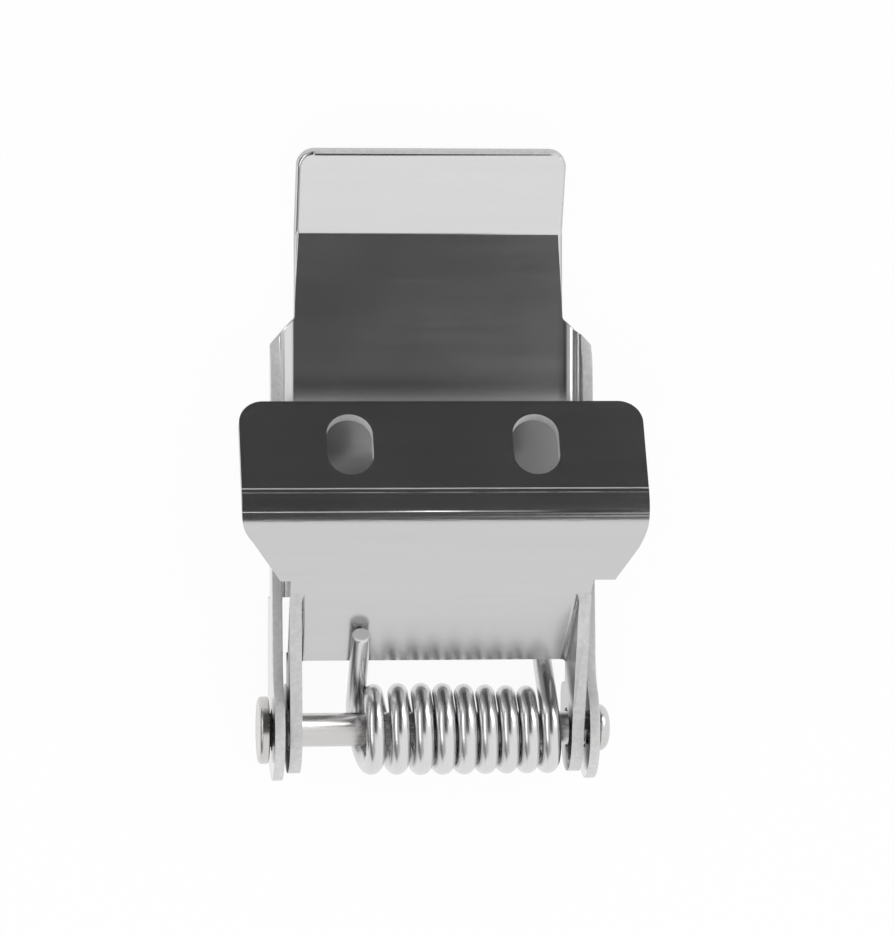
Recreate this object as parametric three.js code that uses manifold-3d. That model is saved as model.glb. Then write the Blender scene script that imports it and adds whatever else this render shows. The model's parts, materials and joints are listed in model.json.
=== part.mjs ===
// Spring mounting clip: a stamped bracket and a stamped clamp arm share one rivet,
// and a torsion spring on that rivet closes the arm against the bracket.
//
// While modelling, X runs across the clip, Y up the clip from the pivot and Z towards
// the front, and the pivot axis is the X axis. The clip then lies on its back: the arm is
// underneath, Z = 0 is the surface it lies on, and the origin is the middle of its outline.
// All sizes are millimetres and degrees.

import * as THREE from 'three';
import { mergeVertices } from 'three/addons/utils/BufferGeometryUtils.js';
import Module from 'manifold-3d';

// ---- driving dimensions ----

// Mounting bracket
const bracketSheet = 1.0; // sheet thickness
const bracketWidth = 24.4; // across the outside of the two ears
const bracketBendRadius = 1.5; // outside radius between web and ears
const webLean = 42.2; // of the web, forwards from upright
const webLength = 16.93; // from the web's lower edge to the flange's corner
const webStart = 4.15; // lower edge, measured up the web from the pivot's foot on it
const earLength = 9.3; // up the web, from its lower edge to the wings
const earLobeRadius = 3.6; // of the ear round the rivet
const earHeel = 3.7; // height of the lobe's squared back corner
const earHeelRadius = 1.3;
const flangeWidth = 33.3;
const flangeLength = 10.49; // from the corner with the web to the free edge
const flangeLean = 30; // backwards from upright
const flangeBendRadius = 2.8; // outside radius between web and flange
const flangeCornerRadius = 2.0;
const wingFootLeft = 13.2; // from the middle to the left wing's lower corner
const wingFootRight = 14.45; // the right wing is cut wider
const wingRise = 7.2; // up the web, from the wings' lower corners to full width
const wingStraight = { left: 0.62, right: 0.5 }; // share of that rise before the curve
const slotWidth = 3.8;
const slotLength = 5.6;
const slotSpacing = 15.3;
const slotHeight = 6.44; // of the slots' centres above the flange's corner

// Clamp arm
const armSheet = 0.85;
const armSideGap = 0.45; // between the arm's ears and the bracket's
const armBendRadius = 2.2; // outside radius between web and side flanges
const armDepth = 3.05; // from the pivot axis back to the web's front face
const armLobeRadius = 4.2; // of the ear round the rivet
const armFlangeRoot = 5.2; // depth of the side flange above the lobe, from the web's back
const armReliefHeight = 10.9; // height up to which the bends are notched out
const armReliefWidth = 5.2; // both notches together, out of the arm's width
const armStripWidth = 22.6;
const armShoulder = 34.3; // height at which the channel has narrowed to the strip
const armShoulderSlant = 2.3; // height of the shoulders' slant
const armShoulderDrop = 3.3; // from the shoulder's top down to the flange's front corner
const armFlangeTip = 3.3; // depth of the side flange at that corner, from the web's back
const lipCorner = 41.45; // height of the corner between strip and lip
const lipLength = 7.2;
const lipLean = 24; // forwards from upright
const lipBendRadius = 1.0; // inside radius
const lipCornerRadius = 1.5;

// Rivet
const rivetDiameter = 2.8;
const rivetHoleGap = 0.3; // round the shank, in all four ears
const rivetHeadGap = 0.3; // between the heads and the arm's ears
const rivetHeadDiameter = 5.6;
const rivetHeadHeight = 0.85;
const rivetPeenDiameter = 3.9;
const rivetPeenHeight = 1.0;

// Torsion spring
const springWire = 1.5;
const springMeanRadius = 3.02;
const springCurlGap = 0.35; // between neighbouring curls, side by side
const springEarGap = 0.8; // between the right leg and the bracket's right ear
const springLeftRoom = 3.85; // least clear width between the left leg and the left ear
const springSeatGap = 0.33; // between the left leg and the bracket's web
const springLeftLeg = 8.2;
const springRightLeg = 7.25;
const springRightAngle = 50; // from the front up to where the right leg leaves the coil
const springRestGap = 0.35; // between the right leg and the lower edge of the arm's web

// Facets
const arcSteps = 12; // per bend or rounded corner
const roundSteps = 40; // round a full circle
const curlSteps = 8;
const wireSides = 5;

// ---- sizes that follow from them ----

const degrees = THREE.MathUtils.degToRad;
const wireFlat = springWire / 2 * Math.cos(Math.PI / wireSides);
const springPitch = springWire + springCurlGap;
const webFront = springMeanRadius + wireFlat + springSeatGap;
const webBack = webFront + bracketSheet;
const webEnd = webStart + webLength;
const earEnd = webStart + earLength;
const armWidth = bracketWidth + 2 * (armSideGap + armSheet);
const armBack = armDepth + armSheet;
const rivetHoleRadius = rivetDiameter / 2 + rivetHoleGap;

const wasm = await Module();
wasm.setup();

// ---- solids ----

// A closed mesh as a solid that can be joined and cut.
function solidOf(geometry) {
  const positions = geometry.clone();
  positions.deleteAttribute('normal');
  positions.deleteAttribute('uv');
  const merged = mergeVertices(positions, 1e-5);
  return new wasm.Manifold(new wasm.Mesh({
    numProp: 3,
    vertProperties: new Float32Array(merged.attributes.position.array),
    triVerts: new Uint32Array(merged.index.array),
  }));
}

function geometryOf(solid) {
  const mesh = solid.getMesh();
  const geometry = new THREE.BufferGeometry();
  geometry.setAttribute('position', new THREE.BufferAttribute(mesh.vertProperties, 3));
  geometry.setIndex(new THREE.BufferAttribute(mesh.triVerts, 1));
  geometry.computeVertexNormals();
  return geometry;
}

// A flat shape pushed along the third of three square directions, from low to high.
function prism(shape, across, up, along, low, high) {
  const geometry = new THREE.ExtrudeGeometry(shape, {
    depth: high - low,
    bevelEnabled: false,
    curveSegments: arcSteps,
  });
  geometry.translate(0, 0, low);
  geometry.applyMatrix4(new THREE.Matrix4().makeBasis(across, up, along));
  return solidOf(geometry);
}

const acrossClip = new THREE.Vector3(1, 0, 0);
const upClip = new THREE.Vector3(0, 1, 0);
const toFront = new THREE.Vector3(0, 0, 1);
const toBack = new THREE.Vector3(0, 0, -1);

// A side outline, drawn in height and depth, pushed across the clip.
function acrossPrism(shape, low, high) {
  return prism(shape, upClip, toFront, acrossClip, low, high);
}

// Directions along and square to a sheet that leans forwards by an angle.
function leaning(angle) {
  const lean = degrees(angle);
  return {
    up: new THREE.Vector3(0, Math.cos(lean), Math.sin(lean)),
    back: new THREE.Vector3(0, Math.sin(lean), -Math.cos(lean)),
  };
}

// A front outline, drawn across and up a leaning sheet, pushed right through it.
function throughPrism(shape, corner, angle) {
  const { up, back } = leaning(angle);
  const reach = 3 * webLength;
  const cutter = prism(shape, acrossClip, up, back.clone().negate(), -reach, reach);
  return cutter.translate([0, corner.y, corner.z]);
}

function crossHole(radius) {
  const hole = new THREE.CylinderGeometry(radius, radius, 2 * armWidth, roundSteps);
  hole.rotateZ(Math.PI / 2);
  return solidOf(hole);
}

// ---- outlines ----

// Section of a channel: a web with its back face at a distance, and two flanges that
// reach forward from it, all of one thickness. The bends are rounded inside; bendCutter
// rounds them outside.
function channelSection(width, sheet, bend, back, reach) {
  const half = width / 2;
  const shape = new THREE.Shape();
  shape.moveTo(-half, -reach);
  shape.lineTo(-half, back);
  shape.lineTo(half, back);
  shape.lineTo(half, -reach);
  shape.lineTo(half - sheet, -reach);
  shape.lineTo(half - sheet, back - bend);
  shape.absarc(half - bend, back - bend, bend - sheet, 0, Math.PI / 2, false);
  shape.lineTo(-half + bend, back - sheet);
  shape.absarc(-half + bend, back - bend, bend - sheet, Math.PI / 2, Math.PI, false);
  shape.lineTo(-half + sheet, -reach);
  return shape;
}

// Section of what a channel's bend leaves outside its outer radius, on one side.
function bendCutter(width, bend, back, side) {
  const half = width / 2;
  const centre = half - bend;
  const shape = new THREE.Shape();
  shape.moveTo(side * (half + bend), back - bend);
  shape.lineTo(side * half, back - bend);
  if (side > 0) shape.absarc(centre, back - bend, bend, 0, Math.PI / 2, false);
  else shape.absarc(-centre, back - bend, bend, Math.PI, Math.PI / 2, true);
  shape.lineTo(side * centre, back + bend);
  shape.lineTo(side * (half + bend), back + bend);
  return shape;
}

// Section of a sheet folded once. The path start, corner, end lies on its front face,
// the sheet lies behind it, and faceRadius rounds the corner on that face.
function foldedSection(start, corner, end, sheet, faceRadius) {
  const first = corner.clone().sub(start).normalize();
  const second = end.clone().sub(corner).normalize();
  const turn = Math.asin(first.cross(second));
  const side = Math.sign(turn);
  const setback = faceRadius * Math.tan(Math.abs(turn) / 2);
  const arcStart = corner.clone().addScaledVector(first, -setback);
  const arcEnd = corner.clone().addScaledVector(second, setback);
  const left = new THREE.Vector2(-first.y, first.x);
  const centre = arcStart.clone().addScaledVector(left, side * faceRadius);
  const startAngle = arcStart.clone().sub(centre).angle();
  const endAngle = startAngle + turn;
  const behindFirst = new THREE.Vector2(first.y, -first.x).multiplyScalar(sheet);
  const behindSecond = new THREE.Vector2(second.y, -second.x).multiplyScalar(sheet);
  const clockwise = turn < 0;
  const shape = new THREE.Shape();
  shape.moveTo(start.x, start.y);
  shape.lineTo(arcStart.x, arcStart.y);
  shape.absarc(centre.x, centre.y, faceRadius, startAngle, endAngle, clockwise);
  shape.lineTo(end.x, end.y);
  shape.lineTo(end.x + behindSecond.x, end.y + behindSecond.y);
  shape.absarc(centre.x, centre.y, faceRadius + side * sheet, endAngle, startAngle, !clockwise);
  shape.lineTo(start.x + behindFirst.x, start.y + behindFirst.y);
  return shape;
}

// A plate outline that is symmetric across the clip: straight up to its rounded top corners.
function roundedTop(width, bottom, top, radius) {
  const half = width / 2;
  const shape = new THREE.Shape();
  shape.moveTo(-half, bottom);
  shape.lineTo(half, bottom);
  shape.lineTo(half, top - radius);
  shape.absarc(half - radius, top - radius, radius, 0, Math.PI / 2, false);
  shape.lineTo(-half + radius, top);
  shape.absarc(-half + radius, top - radius, radius, Math.PI / 2, Math.PI, false);
  return shape;
}

function slotOutline(x, y) {
  const radius = slotWidth / 2;
  const straight = slotLength / 2 - radius;
  const shape = new THREE.Shape();
  shape.absarc(x, y + straight, radius, 0, Math.PI, false);
  shape.absarc(x, y - straight, radius, Math.PI, 2 * Math.PI, false);
  return shape;
}

// ---- mounting bracket ----
//
// It is modelled with its web upright, and leans forward about the pivot when it is whole.

// A place in height and depth on the leaning bracket, while its web is still upright.
function beforeLeaning(height, depth) {
  return new THREE.Vector2(height, depth).rotateAround(new THREE.Vector2(), -degrees(webLean));
}

const flangeTurn = -flangeLean - webLean; // of the flange, from the upright web
const flangeCorner = new THREE.Vector2(webEnd, -webFront);

function flangePoint(distance) {
  const turn = degrees(flangeTurn);
  const direction = new THREE.Vector2(Math.cos(turn), Math.sin(turn));
  return flangeCorner.clone().addScaledVector(direction, distance);
}

// Side outline of an ear: a lobe round the rivet with a squared heel, a waist, and the
// stretch along the web. Its front edge runs from the lobe up to the web.
function earOutline() {
  const lean = degrees(webLean);
  const waistDepth = webStart * Math.sin(lean) - webBack * Math.cos(lean);
  const heelStart = beforeLeaning(earHeel, waistDepth);
  const heelCentre = beforeLeaning(earHeel - earHeelRadius, earHeelRadius - earLobeRadius);
  const shape = new THREE.Shape();
  shape.moveTo(earEnd - bracketBendRadius, -webFront);
  shape.lineTo(earEnd, -webFront);
  shape.lineTo(earEnd, -webBack);
  shape.lineTo(webStart, -webBack);
  shape.lineTo(heelStart.x, heelStart.y);
  shape.absarc(heelCentre.x, heelCentre.y, earHeelRadius, -lean, -Math.PI / 2 - lean, true);
  shape.absarc(0, 0, earLobeRadius, -Math.PI / 2 - lean, -1.5 * Math.PI - lean, true);
  return shape;
}

// The two ears as flat plates, with the web between them and its rounded bends.
function bracketChannel() {
  const half = bracketWidth / 2;
  const section = channelSection(bracketWidth, bracketSheet, bracketBendRadius, webBack,
    2 * earLobeRadius);
  const outline = earOutline();
  let channel = prism(section, acrossClip, toBack, upClip, webStart, earEnd)
    .intersect(acrossPrism(outline, -half, half))
    .add(acrossPrism(outline, half - bracketSheet, half))
    .add(acrossPrism(outline, -half, bracketSheet - half));
  for (const side of [-1, 1]) {
    const corner = bendCutter(bracketWidth, bracketBendRadius, webBack, side);
    channel = channel.subtract(
      prism(corner, acrossClip, toBack, upClip, webStart, 2 * earEnd));
  }
  return channel;
}

// Outline of the web above the ears, across and up the web: a tongue that ends inside
// the flat between the ears' bends, and tapered wings that widen to the flange.
function wingOutline() {
  const half = flangeWidth / 2;
  const tongue = bracketWidth / 2 - 2 * bracketBendRadius;
  const tongueFoot = (webStart + earEnd) / 2;
  const top = webEnd + flangeLength;
  const shape = new THREE.Shape();
  const wingSide = (foot, side, straight) => [
    new THREE.Vector2(side * foot, earEnd),
    new THREE.Vector2(side * (foot + 0.72 * (half - foot)), earEnd + straight * wingRise),
    new THREE.Vector2(side * half, earEnd + (1 + straight) / 2 * wingRise),
    new THREE.Vector2(side * half, earEnd + wingRise),
  ];
  const left = wingSide(wingFootLeft, -1, wingStraight.left);
  const right = wingSide(wingFootRight, 1, wingStraight.right);
  shape.moveTo(-tongue, tongueFoot);
  shape.lineTo(tongue, tongueFoot);
  shape.lineTo(tongue, earEnd);
  shape.lineTo(right[0].x, right[0].y);
  shape.lineTo(right[1].x, right[1].y);
  shape.quadraticCurveTo(right[2].x, right[2].y, right[3].x, right[3].y);
  shape.lineTo(half, top);
  shape.lineTo(-half, top);
  shape.lineTo(left[3].x, left[3].y);
  shape.quadraticCurveTo(left[2].x, left[2].y, left[1].x, left[1].y);
  shape.lineTo(left[0].x, left[0].y);
  shape.lineTo(-tongue, earEnd);
  return shape;
}

function mountingBracket() {
  const half = flangeWidth / 2;
  const foot = new THREE.Vector2(webStart, -webFront);
  const section = foldedSection(foot, flangeCorner, flangePoint(flangeLength), bracketSheet,
    flangeBendRadius);
  const corner = new THREE.Vector3(0, flangeCorner.x, flangeCorner.y);
  const flangeOutline = roundedTop(flangeWidth, -2 * webLength, flangeLength, flangeCornerRadius);
  let bracket = acrossPrism(section, -half, half)
    .intersect(throughPrism(wingOutline(), new THREE.Vector3(), 0))
    .intersect(throughPrism(flangeOutline, corner, flangeTurn));
  for (const side of [-1, 1]) {
    const outline = slotOutline(side * slotSpacing / 2, slotHeight);
    bracket = bracket.subtract(throughPrism(outline, corner, flangeTurn));
  }
  return bracket.add(bracketChannel()).subtract(crossHole(rivetHoleRadius))
    .rotate([webLean, 0, 0]);
}

// ---- clamp arm ----

// Side outline of the arm's channel: a lobe round the rivet, blended into side flanges
// that taper up to the shoulder.
function armOutline() {
  const tipHeight = armShoulder - armShoulderDrop;
  const tipDepth = armFlangeTip - armBack;
  const rootDepth = armFlangeRoot - armBack;
  const blendAngle = degrees(40);
  const blendHeight = armLobeRadius * Math.sin(blendAngle);
  const blendDepth = armLobeRadius * Math.cos(blendAngle);
  const shape = new THREE.Shape();
  shape.moveTo(blendHeight, blendDepth);
  shape.quadraticCurveTo(armLobeRadius, rootDepth, 1.6 * armLobeRadius, rootDepth);
  shape.lineTo(tipHeight - 1, tipDepth + 0.1);
  shape.quadraticCurveTo(tipHeight, tipDepth, tipHeight + 0.7, tipDepth - 0.7);
  shape.lineTo(armShoulder, armBendRadius - armBack);
  shape.lineTo(armShoulder, -armBack);
  shape.lineTo(armReliefHeight, -armBack);
  shape.absarc(0, 0, armLobeRadius, -Math.PI / 2, -1.5 * Math.PI - blendAngle, true);
  return shape;
}

// Height of the web's lower edge: the spring's right leg passes under it.
function armWebFoot() {
  const angle = degrees(springRightAngle);
  const outer = springMeanRadius + springWire / 2 + springRestGap;
  return (outer + armDepth * Math.cos(angle)) / Math.sin(angle);
}

// Front outline of the channel: its shoulders slant in to the strip's width.
function shoulderOutline() {
  const half = armWidth / 2;
  const strip = armStripWidth / 2;
  const shape = new THREE.Shape();
  shape.moveTo(-half, -2 * armLobeRadius);
  shape.lineTo(half, -2 * armLobeRadius);
  shape.lineTo(half, armShoulder - armShoulderSlant);
  shape.lineTo(strip, armShoulder);
  shape.lineTo(-strip, armShoulder);
  shape.lineTo(-half, armShoulder - armShoulderSlant);
  return shape;
}

// The channel above the notches, and below them the two ears as flat plates.
function armChannel() {
  const half = armWidth / 2;
  const outline = armOutline();
  const section = channelSection(armWidth, armSheet, armBendRadius, armBack, armLobeRadius + 1);
  let channel = prism(section, acrossClip, toBack, upClip, armReliefHeight, armShoulder)
    .intersect(acrossPrism(outline, -half, half))
    .add(acrossPrism(outline, half - armSheet, half))
    .add(acrossPrism(outline, -half, armSheet - half));
  for (const side of [-1, 1]) {
    const corner = bendCutter(armWidth, armBendRadius, armBack, side);
    channel = channel.subtract(
      prism(corner, acrossClip, toBack, upClip, armReliefHeight, 2 * armShoulder));
  }
  return channel.intersect(throughPrism(shoulderOutline(), new THREE.Vector3(), 0));
}

// The web's flat from its lower edge to the lip, folded once.
function armStrip() {
  const corner = new THREE.Vector2(lipCorner, -armDepth);
  const lean = degrees(lipLean);
  const lipDirection = new THREE.Vector2(Math.cos(lean), Math.sin(lean));
  const lipEnd = corner.clone().addScaledVector(lipDirection, lipLength);
  const foot = new THREE.Vector2(armWebFoot(), -armDepth);
  const section = foldedSection(foot, corner, lipEnd, armSheet, lipBendRadius);
  const strip = acrossPrism(section, -armStripWidth / 2, armStripWidth / 2);
  const lipOutline = roundedTop(armStripWidth, -2 * lipCorner, lipLength, lipCornerRadius);
  const lipPlace = new THREE.Vector3(0, corner.x, corner.y);
  const notch = new THREE.BoxGeometry(armWidth, 2 * armReliefHeight, 4 * armBack);
  const tongue = new THREE.BoxGeometry(armWidth - armReliefWidth, 2 * lipCorner, 4 * armBack);
  return strip.intersect(throughPrism(lipOutline, lipPlace, lipLean))
    .subtract(solidOf(notch).subtract(solidOf(tongue)));
}

function clampArm() {
  return armChannel().add(armStrip()).subtract(crossHole(rivetHoleRadius));
}

// ---- rivet ----

// Profile turned round the rivet's axis: factory head on the left, peened dome on the right.
function rivetGeometry() {
  const inner = armWidth / 2 + rivetHeadGap;
  const shank = rivetDiameter / 2;
  const head = rivetHeadDiameter / 2;
  const peen = rivetPeenDiameter / 2;
  const edge = rivetHeadHeight / 3;
  const profile = [
    new THREE.Vector2(0, -inner - rivetHeadHeight),
    new THREE.Vector2(head - edge, -inner - rivetHeadHeight),
    new THREE.Vector2(head, -inner - rivetHeadHeight + edge),
    new THREE.Vector2(head, -inner),
    new THREE.Vector2(shank, -inner),
    new THREE.Vector2(shank, inner),
  ];
  for (let step = 0; step <= arcSteps; step += 1) {
    const angle = step / arcSteps * Math.PI / 2;
    const radius = step === arcSteps ? 0 : peen * Math.cos(angle);
    profile.push(new THREE.Vector2(radius, inner + rivetPeenHeight * Math.sin(angle)));
  }
  const geometry = new THREE.LatheGeometry(profile, roundSteps);
  geometry.rotateZ(-Math.PI / 2);
  return geometry;
}

// ---- torsion spring ----

// Centre line of the wire, as places with the direction that points out from the coil.
// The left leg comes down the web's front face into the back of the coil, and the right
// leg leaves the coil's top front and runs back under the arm's web. The coil has as many
// curls as fit between the ears, and starts from the right ear.
function springLine() {
  const leftAngle = Math.PI / 2 + degrees(90 - webLean);
  const partCurl = leftAngle / (2 * Math.PI) - springRightAngle / 360;
  const room = bracketWidth - 2 * bracketSheet - springEarGap - springLeftRoom - springWire;
  const curls = Math.floor(room / springPitch + partCurl);
  const rightAngle = degrees(springRightAngle) + curls * 2 * Math.PI;
  const sweep = rightAngle - leftAngle;
  const springRight = bracketWidth / 2 - bracketSheet - springEarGap - springWire / 2;
  const springLeft = springRight - sweep / (2 * Math.PI) * springPitch;
  const steps = Math.round(sweep / (2 * Math.PI) * curlSteps);
  const line = [];
  const place = (x, angle, run) => {
    const out = new THREE.Vector3(0, Math.sin(angle), Math.cos(angle));
    const along = new THREE.Vector3(0, Math.cos(angle), -Math.sin(angle));
    const point = out.clone().multiplyScalar(springMeanRadius).addScaledVector(along, run);
    point.x = x;
    line.push({ point, out });
  };
  place(springLeft, leftAngle, -springLeftLeg);
  place(springLeft, leftAngle, -springWire);
  for (let step = 0; step <= steps; step += 1) {
    const share = step / steps;
    const turned = share * sweep;
    place(springLeft + turned / (2 * Math.PI) * springPitch, leftAngle + turned, 0);
  }
  const right = line[line.length - 1].point.x;
  place(right, rightAngle, springWire);
  place(right, rightAngle, springRightLeg);
  return line;
}

// Rings of the tube round the centre line, a flat side facing out from the coil.
function springRings(line) {
  return line.map(({ point, out }, index) => {
    const before = line[Math.max(index - 1, 0)].point;
    const after = line[Math.min(index + 1, line.length - 1)].point;
    const along = after.clone().sub(before).normalize();
    const side = along.clone().cross(out).normalize();
    const face = side.clone().cross(along).normalize();
    return Array.from({ length: wireSides }, (_, corner) => {
      const angle = (corner + 0.5) * 2 * Math.PI / wireSides;
      return point.clone()
        .addScaledVector(face, springWire / 2 * Math.cos(angle))
        .addScaledVector(side, springWire / 2 * Math.sin(angle));
    });
  });
}

// Least distance between points of the tube that lie most of a turn or more apart on it.
function leastSelfGap(rings) {
  const apart = curlSteps - 2;
  let least = Infinity;
  for (let first = 0; first < rings.length; first += 1) {
    for (let second = first + apart; second < rings.length; second += 1) {
      for (const a of rings[first]) {
        for (const b of rings[second]) {
          least = Math.min(least, a.distanceTo(b));
        }
      }
    }
  }
  return least;
}

function springGeometry() {
  const rings = springRings(springLine());
  console.log(`torsion_spring least gap to itself ${leastSelfGap(rings).toFixed(3)} mm`);
  const points = rings.flat();
  const index = [];
  for (let ring = 0; ring + 1 < rings.length; ring += 1) {
    for (let corner = 0; corner < wireSides; corner += 1) {
      const next = (corner + 1) % wireSides;
      const a = ring * wireSides + corner;
      const b = ring * wireSides + next;
      index.push(a, b, b + wireSides, a, b + wireSides, a + wireSides);
    }
  }
  const last = points.length - wireSides;
  for (let corner = 1; corner + 1 < wireSides; corner += 1) {
    index.push(0, corner + 1, corner);
    index.push(last, last + corner, last + corner + 1);
  }
  const geometry = new THREE.BufferGeometry().setFromPoints(points);
  geometry.setIndex(index);
  geometry.computeVertexNormals();
  return geometry;
}

// ---- assembly ----

function steel(color, roughness) {
  return new THREE.MeshStandardMaterial({ color, roughness, metalness: 1 });
}

function named(name, geometry, material) {
  const mesh = new THREE.Mesh(geometry, material);
  mesh.name = name;
  return mesh;
}

const fixedSide = new THREE.Group();
fixedSide.add(
  named('mounting_bracket', geometryOf(mountingBracket()), steel(0xb9bcc0, 0.28)),
  named('pivot_rivet', rivetGeometry(), steel(0xc4c2be, 0.34)),
  named('torsion_spring', springGeometry(), steel(0xd2d4d8, 0.14)),
);

const clip = new THREE.Group();
clip.add(
  fixedSide,
  named('clamp_arm', geometryOf(clampArm()), steel(0xaeb1b6, 0.3)),
);

const lipTop = lipCorner + lipLength * Math.cos(degrees(lipLean))
  + armSheet * Math.sin(degrees(lipLean));
clip.position.set(0, (armLobeRadius - lipTop) / 2, armLobeRadius);

export default clip;
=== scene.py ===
"""Looks of a stamped spring clip: a slotted bracket, a clamp arm, a rivet and a torsion spring.

The clip lies on its back on a pale floor and the camera looks down on it. X runs across the
clip along the rivet, Y up the clip from the rivet to the lip, and Z up from the floor.
Sizes in the classes are millimetres; the meshes are in metres.
"""

import json
import logging
import math
from dataclasses import dataclass, field
from enum import Enum
from typing import Callable, Optional, Union

import bmesh
import bpy
from mathutils import Matrix, Vector
from mathutils.bvhtree import BVHTree


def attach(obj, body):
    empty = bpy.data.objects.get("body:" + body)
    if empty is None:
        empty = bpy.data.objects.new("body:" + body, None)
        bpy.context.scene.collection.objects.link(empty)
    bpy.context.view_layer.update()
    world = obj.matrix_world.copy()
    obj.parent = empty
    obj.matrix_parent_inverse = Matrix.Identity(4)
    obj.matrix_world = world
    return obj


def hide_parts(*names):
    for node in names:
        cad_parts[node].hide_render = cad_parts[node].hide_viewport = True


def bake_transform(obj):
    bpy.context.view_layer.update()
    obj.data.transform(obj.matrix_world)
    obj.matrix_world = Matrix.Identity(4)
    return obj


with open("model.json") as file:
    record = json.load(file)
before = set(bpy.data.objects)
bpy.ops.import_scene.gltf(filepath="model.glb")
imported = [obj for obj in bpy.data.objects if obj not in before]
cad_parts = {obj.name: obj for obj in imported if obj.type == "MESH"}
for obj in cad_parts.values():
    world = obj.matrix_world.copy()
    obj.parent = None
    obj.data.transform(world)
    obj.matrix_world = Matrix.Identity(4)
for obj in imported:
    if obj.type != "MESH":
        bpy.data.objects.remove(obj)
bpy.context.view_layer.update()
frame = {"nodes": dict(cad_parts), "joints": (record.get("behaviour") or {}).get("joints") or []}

log = logging.getLogger("spring_clip")

MILLIMETRE = 0.001
PIVOT = Vector(frame["joints"][0]["pos_m"])
BLACK = (0.0, 0.0, 0.0, 1.0)
WHITE = (1.0, 1.0, 1.0, 1.0)
SHEARED_ANGLE = math.radians(32)

Value = Union[float, int, bool, tuple, bpy.types.NodeSocket, bpy.types.Material]


class Body(Enum):
    """The two bodies that the joint connects."""

    BRACKET = "bracket"
    ARM = "arm"


class Slot(Enum):
    """Material slots of the record."""

    BRACKET = "bracket_steel"
    ARM = "arm_steel"
    RIVET = "rivet_steel"
    SPRING = "spring_wire"


# ---- wiring of node trees ----


class Wiring:
    """Adds nodes to a tree and joins them."""

    def __init__(self, tree: bpy.types.NodeTree) -> None:
        """Keeps the tree.

        Args:
            tree: a shader or geometry node tree.
        """
        self.tree = tree

    def add(self, kind: str, inputs: Optional[dict[Union[int, str], Value]] = None,
            **settings: object) -> bpy.types.Node:
        """Adds one node.

        Args:
            kind: the node's Blender type name.
            inputs: a value or another node's output for each named or numbered socket.
            settings: attributes of the node itself.

        Returns:
            The new node.
        """
        node = self.tree.nodes.new(kind)
        for name, value in settings.items():
            setattr(node, name, value)
        for key, value in (inputs or {}).items():
            if isinstance(value, bpy.types.NodeSocket):
                self.tree.links.new(value, node.inputs[key])
            else:
                node.inputs[key].default_value = value
        return node

    def math(self, operation: str, *values: Value) -> bpy.types.NodeSocket:
        """Adds a math node.

        Args:
            operation: its operation.
            values: one, two or three numbers or outputs.

        Returns:
            The result's socket.
        """
        kind = "ShaderNodeMath"
        return self.add(kind, dict(enumerate(values)), operation=operation).outputs[0]

    def mix(self, factor: Value, first: Value, second: Value) -> bpy.types.NodeSocket:
        """Mixes two colours.

        Args:
            factor: share of the second colour.
            first: the colour at 0.
            second: the colour at 1.

        Returns:
            The mixed colour's socket.
        """
        inputs = {0: factor, 6: first, 7: second}
        return self.add("ShaderNodeMix", inputs, data_type="RGBA").outputs[2]

    def ramp(self, value: Value, low: float, high: float, to_low: float,
             to_high: float) -> bpy.types.NodeSocket:
        """Maps a value from one range to another, held at both ends.

        Args:
            value: the value's socket.
            low: start of the range read.
            high: end of the range read.
            to_low: result at the start.
            to_high: result at the end.

        Returns:
            The mapped value's socket.
        """
        inputs = {0: value, 1: low, 2: high, 3: to_low, 4: to_high}
        return self.add("ShaderNodeMapRange", inputs, clamp=True).outputs[0]


def new_group(name: str, inputs: dict[str, float],
              outputs: list[str]) -> tuple[Wiring, dict, dict]:
    """Starts a shader node group with number sockets.

    Args:
        name: the group's name.
        inputs: default of each input.
        outputs: names of the outputs.

    Returns:
        Its wiring, its inputs as sockets to read and its outputs as sockets to feed.
    """
    tree = bpy.data.node_groups.new(name, "ShaderNodeTree")
    for label, default in inputs.items():
        socket = tree.interface.new_socket(label, in_out="INPUT", socket_type="NodeSocketFloat")
        socket.default_value = default
    for label in outputs:
        tree.interface.new_socket(label, in_out="OUTPUT", socket_type="NodeSocketFloat")
    wiring = Wiring(tree)
    start = wiring.add("NodeGroupInput")
    end = wiring.add("NodeGroupOutput")
    return wiring, {i: start.outputs[i] for i in inputs}, {o: end.inputs[o] for o in outputs}


def grain_group() -> bpy.types.NodeTree:
    """Builds the fine streaks that rolling leaves along X on sheet.

    Returns:
        A group with inputs Fineness and Length and outputs Tone and Height, both 0 to 1.
    """
    wiring, given, made = new_group("rolling_grain", {"Fineness": 9000.0, "Length": 0.04},
                                    ["Tone", "Height"])
    place = wiring.add("ShaderNodeTexCoord").outputs["Object"]
    split = wiring.add("ShaderNodeSeparateXYZ", {0: place})
    along = wiring.math("MULTIPLY", split.outputs[0], given["Length"])
    spot = wiring.add("ShaderNodeCombineXYZ", {0: along, 1: split.outputs[1], 2: split.outputs[2]})
    fine = wiring.add("ShaderNodeTexNoise", {"Vector": spot.outputs[0], "Scale": given["Fineness"],
                                             "Detail": 3.0, "Roughness": 0.6})
    broad_scale = wiring.math("MULTIPLY", given["Fineness"], 0.12)
    broad = wiring.add("ShaderNodeTexNoise", {"Vector": spot.outputs[0], "Scale": broad_scale,
                                              "Detail": 2.0})
    both = wiring.math("MULTIPLY_ADD", broad.outputs[0], 0.6, wiring.math(
        "MULTIPLY", fine.outputs[0], 0.4))
    wiring.tree.links.new(wiring.ramp(both, 0.3, 0.7, 0.0, 1.0), made["Tone"])
    wiring.tree.links.new(fine.outputs[0], made["Height"])
    return wiring.tree


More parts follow.
